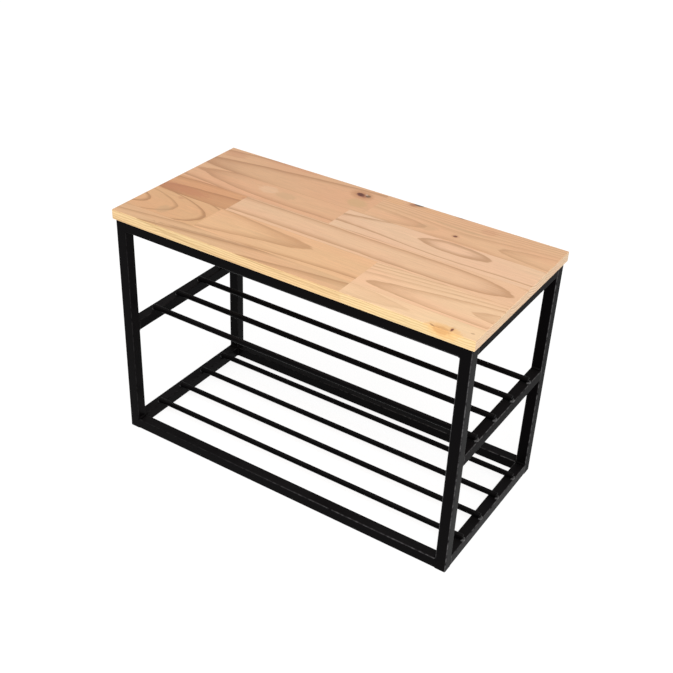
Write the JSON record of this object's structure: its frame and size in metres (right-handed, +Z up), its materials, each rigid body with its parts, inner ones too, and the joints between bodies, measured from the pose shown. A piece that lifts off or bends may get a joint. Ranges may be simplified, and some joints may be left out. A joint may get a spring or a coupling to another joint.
{
  "type": "entryway bench",
  "caption": "Entryway bench with a glued pine seat on a welded black square-tube steel frame, with a middle and a bottom shelf of lengthwise round rods for shoes.",
  "frame": {"origin": "on the floor under the middle of the bench", "axes": "+Z up, +X along the bench's length, +Y towards its back"},
  "size_m": [0.68, 0.332, 0.45],
  "materials": {
    "pine": "satin clear lacquer",
    "frame_paint": "satin black powder coat",
    "screw_zinc": "zinc plated",
    "plug_plastic": "matte black"
  },
  "bodies": {
    "root": {"back_bottom_rail": "frame_paint", "back_left_leg": "frame_paint", "back_left_leg_plug": "plug_plastic", "back_right_leg": "frame_paint", "back_right_leg_plug": "plug_plastic", "back_stave_left": "pine", "back_stave_right": "pine", "back_top_rail": "frame_paint", "bottom_shelf_rod_1": "frame_paint", "bottom_shelf_rod_2": "frame_paint", "bottom_shelf_rod_3": "frame_paint", "bottom_shelf_rod_4": "frame_paint", "frame_welds": "frame_paint", "front_bottom_rail": "frame_paint", "front_left_leg": "frame_paint", "front_left_leg_plug": "plug_plastic", "front_right_leg": "frame_paint", "front_right_leg_plug": "plug_plastic", "front_stave_left": "pine", "front_stave_right": "pine", "front_top_rail": "frame_paint", "inner_back_stave_left": "pine", "inner_back_stave_right": "pine", "inner_front_stave_centre": "pine", "inner_front_stave_left": "pine", "inner_front_stave_right": "pine", "left_bottom_rail": "frame_paint", "left_shelf_rail": "frame_paint", "left_top_rail": "frame_paint", "middle_shelf_rod_1": "frame_paint", "middle_shelf_rod_2": "frame_paint", "middle_shelf_rod_3": "frame_paint", "middle_shelf_rod_4": "frame_paint", "middle_stave_left": "pine", "middle_stave_right": "pine", "right_bottom_rail": "frame_paint", "right_shelf_rail": "frame_paint", "right_top_rail": "frame_paint", "rod_welds": "frame_paint", "seat_screws": "screw_zinc"}
  },
  "joints": []
}
